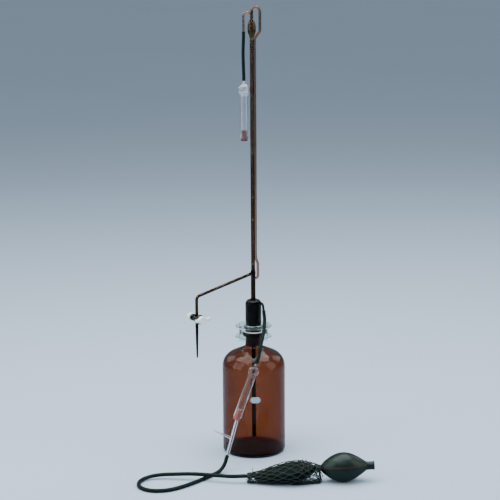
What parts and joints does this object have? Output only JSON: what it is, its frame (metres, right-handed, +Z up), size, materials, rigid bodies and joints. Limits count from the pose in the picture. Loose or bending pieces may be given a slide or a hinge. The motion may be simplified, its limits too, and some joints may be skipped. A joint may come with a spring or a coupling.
{
  "type": "automatic burette",
  "caption": "Automatic burette on an amber reservoir bottle: graduated tube with zero bulb, side stopcock, drying tubes and a netted rubber hand bellows.",
  "frame": {"origin": "centre of the bottle's base, on the table", "axes": "+Z up along the measuring tube; the front, with the bellows, is -Y; +X is to the right"},
  "size_m": [0.4833, 0.3405, 0.9472],
  "materials": {
    "amber_glass": "clear amber glass",
    "clear_glass": "clear glass",
    "white_ptfe": "waxy white plastic",
    "black_rubber": "smooth black rubber",
    "red_rubber": "dull red-brown rubber",
    "clear_plastic": "clear acrylic",
    "spring_steel": "bright wire",
    "net_cord": "dark knotted cord",
    "valve_metal": "turned metal"
  },
  "bodies": {
    "burette_and_bottle": {"reservoir_bottle": "amber_glass", "burette_head": "amber_glass", "dip_tube": "amber_glass", "pressure_arm": "amber_glass", "riser_stem": "amber_glass", "burette_tube": "amber_glass", "filling_tube": "amber_glass", "zero_bulb": "amber_glass", "zero_tip": "amber_glass", "vent_tube": "amber_glass", "side_arm": "amber_glass", "stopcock_barrel": "amber_glass", "jet_tip": "amber_glass", "vent_drying_tube": "clear_glass", "inlet_drying_tube": "clear_glass", "finger_vent_tee": "clear_glass", "vent_hose": "black_rubber", "pressure_hose": "black_rubber", "bellows_hose": "black_rubber", "reservoir_bag": "black_rubber", "hand_bulb": "black_rubber", "inlet_stopper": "red_rubber", "upper_clamp_plate": "clear_plastic", "lower_clamp_plate": "clear_plastic", "left_clamp_spring": "spring_steel", "right_clamp_spring": "spring_steel", "bag_net": "net_cord", "left_net_tie": "net_cord", "right_net_tie": "net_cord", "bag_nipple": "valve_metal", "outlet_valve_body": "valve_metal", "inlet_valve_body": "valve_metal"},
    "stopcock_key": {"stopcock_key": "white_ptfe", "key_washer": "white_ptfe", "key_o_ring": "black_rubber", "key_nut": "white_ptfe"},
    "vent_stopper": {"vent_stopper": "red_rubber"},
    "outlet_valve_ball": {"outlet_valve_ball": "valve_metal"},
    "inlet_valve_ball": {"inlet_valve_ball": "valve_metal"}
  },
  "joints": [
    {"name": "stopcock_turn", "type": "hinge", "parent": "burette_and_bottle", "child": "stopcock_key", "pos_m": [-0.11714, -0.08202, 0.311], "axis": [0.5736, -0.8192, 0], "continuous": true},
    {"name": "vent_stopper_pull", "type": "slide", "parent": "burette_and_bottle", "child": "vent_stopper", "axis": [0, 0, -1], "range_m": [0, 0.03]},
    {"name": "outlet_ball_lift", "type": "slide", "parent": "burette_and_bottle", "child": "outlet_valve_ball", "axis": [-0.9984, -0.0436, -0.0349], "range_m": [0, 0.0012]},
    {"name": "inlet_ball_lift", "type": "slide", "parent": "burette_and_bottle", "child": "inlet_valve_ball", "axis": [-0.9984, -0.0436, -0.0349], "range_m": [0, 0.0012]}
  ]
}
